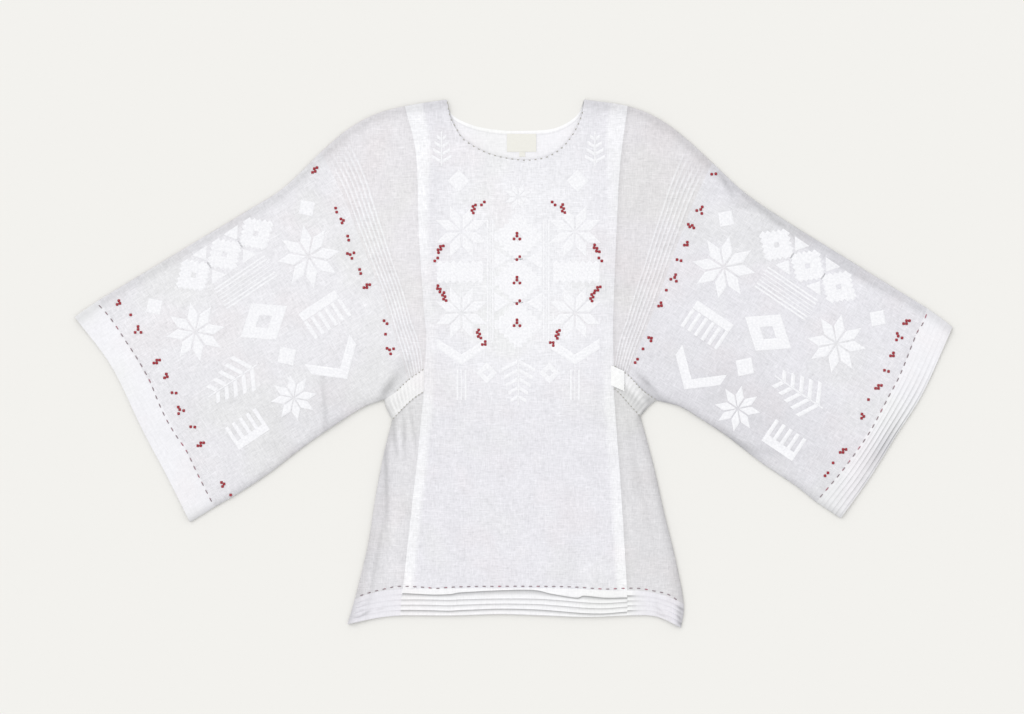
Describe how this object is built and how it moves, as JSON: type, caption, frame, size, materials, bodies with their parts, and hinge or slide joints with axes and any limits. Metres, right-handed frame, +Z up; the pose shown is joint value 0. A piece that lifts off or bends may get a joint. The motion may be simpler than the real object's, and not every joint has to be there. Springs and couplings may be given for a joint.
{
  "type": "embroidered blouse",
  "caption": "Wide-sleeved sheer linen blouse laid flat, with tucked cuffs and hem, pintucked shoulders, gathered waist casings and geometric embroidery.",
  "frame": {"origin": "middle of the laid garment's box, on the surface that it rests on", "axes": "+X across the sleeves, +Y towards the neck, +Z up from the surface, out of the blouse's front"},
  "size_m": [1.316, 0.792, 0.0072],
  "materials": {
    "linen": "sheer slubby white linen",
    "band": "doubled white linen, tucked",
    "casing": "gathered white linen casing",
    "woven_label": "bare ivory woven tape"
  },
  "bodies": {
    "root": {"front_centre": "linen", "back_centre": "linen", "shoulder_left": "linen", "shoulder_right": "linen", "sleeve_left": "linen", "sleeve_right": "linen", "gore_left": "linen", "gore_right": "linen", "cuff_left": "band", "cuff_right": "band", "hem_front": "band", "hem_back": "band", "hem_left": "band", "hem_right": "band", "casing_left": "casing", "casing_right": "casing", "casing_tab": "casing", "label": "woven_label", "label_tab": "woven_label"}
  },
  "joints": []
}
